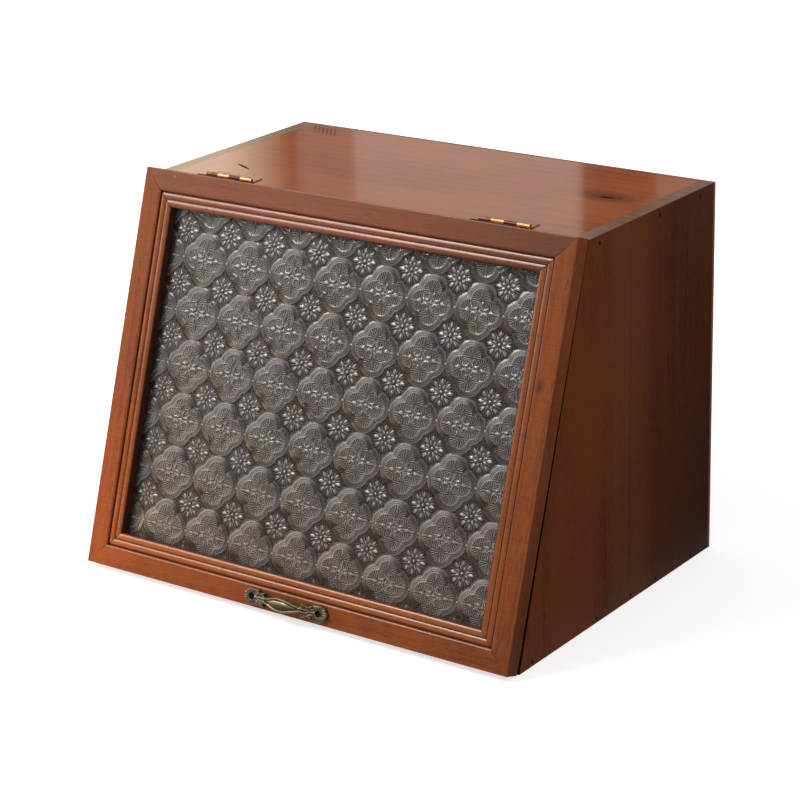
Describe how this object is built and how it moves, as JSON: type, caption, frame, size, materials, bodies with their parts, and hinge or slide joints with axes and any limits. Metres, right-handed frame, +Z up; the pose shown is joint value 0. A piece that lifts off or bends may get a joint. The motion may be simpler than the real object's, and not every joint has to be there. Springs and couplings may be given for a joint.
{
  "type": "slant front storage bin",
  "caption": "Countertop wooden storage bin with a sloping glazed door in patterned glass, top-hung on butt hinges so that it lifts up, with a bow handle.",
  "frame": {"origin": "middle of the case's base, on the surface that it stands on", "axes": "+X to the viewer's right along the case's width, +Y to the back, +Z up"},
  "size_m": [0.404, 0.3116, 0.3114],
  "materials": {
    "case_wood": "reddish brown stain under satin varnish, glossier on the top",
    "door_wood": "orange-brown stain under satin varnish",
    "stop_wood": "thinly stained, matt",
    "back_ply": "thinly stained plywood, matt",
    "figured_glass": "clear pressed relief pattern on the front, smooth back",
    "hinge_bronze": "antique copper plate, darkened in the joints",
    "handle_bronze": "antique bronze, dark in the hollows and rubbed bright on the ridges",
    "brad_steel": "dulled steel",
    "bumper_rubber": "matt"
  },
  "bodies": {
    "case": {"side_panel_left": "case_wood", "side_panel_right": "case_wood", "top_panel": "case_wood", "bottom_panel": "case_wood", "back_panel": "back_ply", "case_nails_left": "brad_steel", "case_nails_right": "brad_steel", "back_panel_nails": "brad_steel", "door_bumper_left": "bumper_rubber", "door_bumper_right": "bumper_rubber", "hinge_leaf_case_left": "hinge_bronze", "hinge_leaf_case_right": "hinge_bronze", "hinge_pin_left": "hinge_bronze", "hinge_pin_right": "hinge_bronze", "hinge_screws_case": "hinge_bronze"},
    "door": {"door_rail_top": "door_wood", "door_rail_bottom": "door_wood", "door_stile_left": "door_wood", "door_stile_right": "door_wood", "door_glass": "figured_glass", "glass_stop_top": "stop_wood", "glass_stop_bottom": "stop_wood", "glass_stop_left": "stop_wood", "glass_stop_right": "stop_wood", "glass_stop_pins": "brad_steel", "door_corner_brads": "brad_steel", "hinge_leaf_door_left": "hinge_bronze", "hinge_leaf_door_right": "hinge_bronze", "hinge_screws_door": "hinge_bronze", "pull_handle": "handle_bronze", "handle_screws": "handle_bronze"}
  },
  "joints": [
    {"name": "door_hinge", "type": "hinge", "parent": "case", "child": "door", "pos_m": [0, -0.04277, 0.308], "axis": [-1, 0, 0], "range_deg": [0, 165]}
  ]
}
